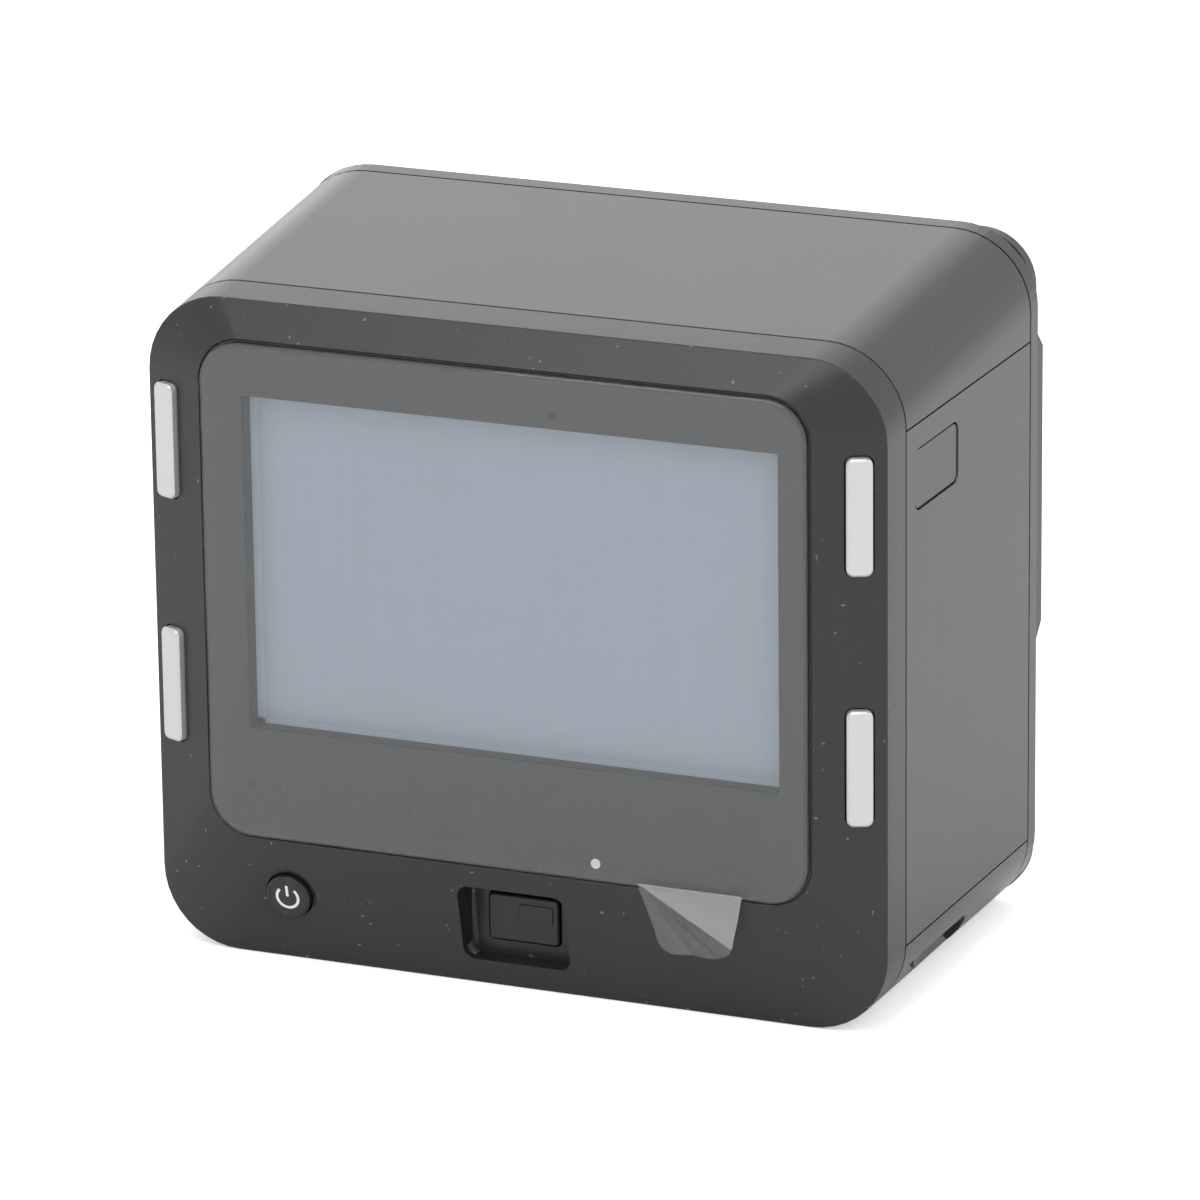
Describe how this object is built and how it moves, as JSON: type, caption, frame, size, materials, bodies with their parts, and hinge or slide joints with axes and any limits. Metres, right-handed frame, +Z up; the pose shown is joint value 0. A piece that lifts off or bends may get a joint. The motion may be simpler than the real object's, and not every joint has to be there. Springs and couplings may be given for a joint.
{
  "type": "medium format digital back",
  "caption": "Box-shaped digital back with a touch display framed by a sloping bezel, side keys, a release latch, a sliding battery, side doors and a sensor window behind.",
  "frame": {"origin": "middle of the bounding box, at the height of the underside", "axes": "+Z up, -Y out of the display, +Y out of the sensor window, +X to the right of someone who faces the display"},
  "size_m": [0.099, 0.0586, 0.0885],
  "materials": {
    "front_moulding": "fine satin black paint",
    "satin_shell": "satin dark grey anodised",
    "display_glass": "polished glass with a dark mask printed behind",
    "clear_film": "clear glossy film",
    "display_panel": "blue-grey display panel, switched off",
    "silver_key": "satin silver",
    "button_black": "satin black",
    "badge_plate": "satin black",
    "plated_steel": "nickel plated",
    "cast_frame": "cast and machined",
    "circuit_board": "solder mask",
    "inner_moulding": "matt black",
    "battery_case": "fine grained black",
    "copper_plate": "milled copper",
    "sensor_ceramic": "ceramic",
    "seal_rubber": "matt",
    "filter_glass": "coated glass",
    "mount_metal": "satin black",
    "gold_contact": "gold plated",
    "black_screw": "blackened"
  },
  "bodies": {
    "housing": {"bezel": "front_moulding", "cover_glass": "display_glass", "protective_film": "clear_film", "lcd_module": "display_panel", "display_board": "circuit_board", "dome_switches": "plated_steel", "latch_pin": "plated_steel", "chassis": "cast_frame", "top_cover": "satin_shell", "bottom_cover": "front_moulding", "right_panel": "satin_shell", "left_panel": "satin_shell", "right_badge": "badge_plate", "card_door_pin": "plated_steel", "port_door_pin": "plated_steel", "port_connector": "plated_steel", "card_cage": "plated_steel", "main_board": "circuit_board", "board_screws": "plated_steel", "battery_bay": "inner_moulding", "battery_contacts": "inner_moulding", "heat_spreader": "copper_plate", "sensor_board": "circuit_board", "sensor_package": "sensor_ceramic", "sensor_gasket": "seal_rubber", "filter_glass": "filter_glass", "rear_frame": "satin_shell", "mount_plate": "mount_metal", "light_baffle": "inner_moulding", "contact_block": "inner_moulding", "contact_pads": "gold_contact", "frame_screws": "black_screw", "bottom_screws": "black_screw"},
    "key_upper_left": {"key_upper_left": "silver_key"},
    "key_lower_left": {"key_lower_left": "silver_key"},
    "key_upper_right": {"key_upper_right": "silver_key"},
    "key_lower_right": {"key_lower_right": "silver_key"},
    "power_button": {"power_button": "button_black"},
    "release_button": {"release_button": "button_black"},
    "latch_lever": {"latch_lever": "plated_steel"},
    "card_door": {"card_door": "satin_shell"},
    "port_door": {"port_door": "satin_shell"},
    "battery_pack": {"battery_pack": "battery_case"}
  },
  "joints": [
    {"name": "key_upper_left_press", "type": "slide", "parent": "housing", "child": "key_upper_left", "axis": [0.3959, 0.9183, 0], "range_m": [0, 0.0005], "stiffness_N_per_m": 400},
    {"name": "key_lower_left_press", "type": "slide", "parent": "housing", "child": "key_lower_left", "axis": [0.3959, 0.9183, 0], "range_m": [0, 0.0005], "stiffness_N_per_m": 400},
    {"name": "key_upper_right_press", "type": "slide", "parent": "housing", "child": "key_upper_right", "axis": [-0.3959, 0.9183, 0], "range_m": [0, 0.0005], "stiffness_N_per_m": 400},
    {"name": "key_lower_right_press", "type": "slide", "parent": "housing", "child": "key_lower_right", "axis": [-0.3959, 0.9183, 0], "range_m": [0, 0.0005], "stiffness_N_per_m": 400},
    {"name": "power_press", "type": "slide", "parent": "housing", "child": "power_button", "axis": [0, 0.977, 0.2132], "range_m": [0, 0.0005], "stiffness_N_per_m": 400},
    {"name": "release_press", "type": "slide", "parent": "housing", "child": "release_button", "axis": [0, 1, 0], "range_m": [0, 0.0012], "stiffness_N_per_m": 900},
    {"name": "latch_turn", "type": "hinge", "parent": "housing", "child": "latch_lever", "pos_m": [0, -0.01769, 0.0084], "axis": [-1, 0, 0], "range_deg": [0, 24.08]},
    {"name": "battery_slide", "type": "slide", "parent": "housing", "child": "battery_pack", "axis": [0, 0, -1], "range_m": [0, 0.045]},
    {"name": "card_door_swing", "type": "hinge", "parent": "housing", "child": "card_door", "pos_m": [-0.04793, 0.00273, 0.057], "axis": [0, 0, -1], "range_deg": [0, 90]},
    {"name": "port_door_swing", "type": "hinge", "parent": "housing", "child": "port_door", "pos_m": [-0.0484, 0.01852, 0.024], "axis": [0, 0, -1], "range_deg": [0, 90]}
  ],
  "couplings": [
    {"joint": "latch_turn", "follows": "release_press", "rad_per_m": 350}
  ]
}
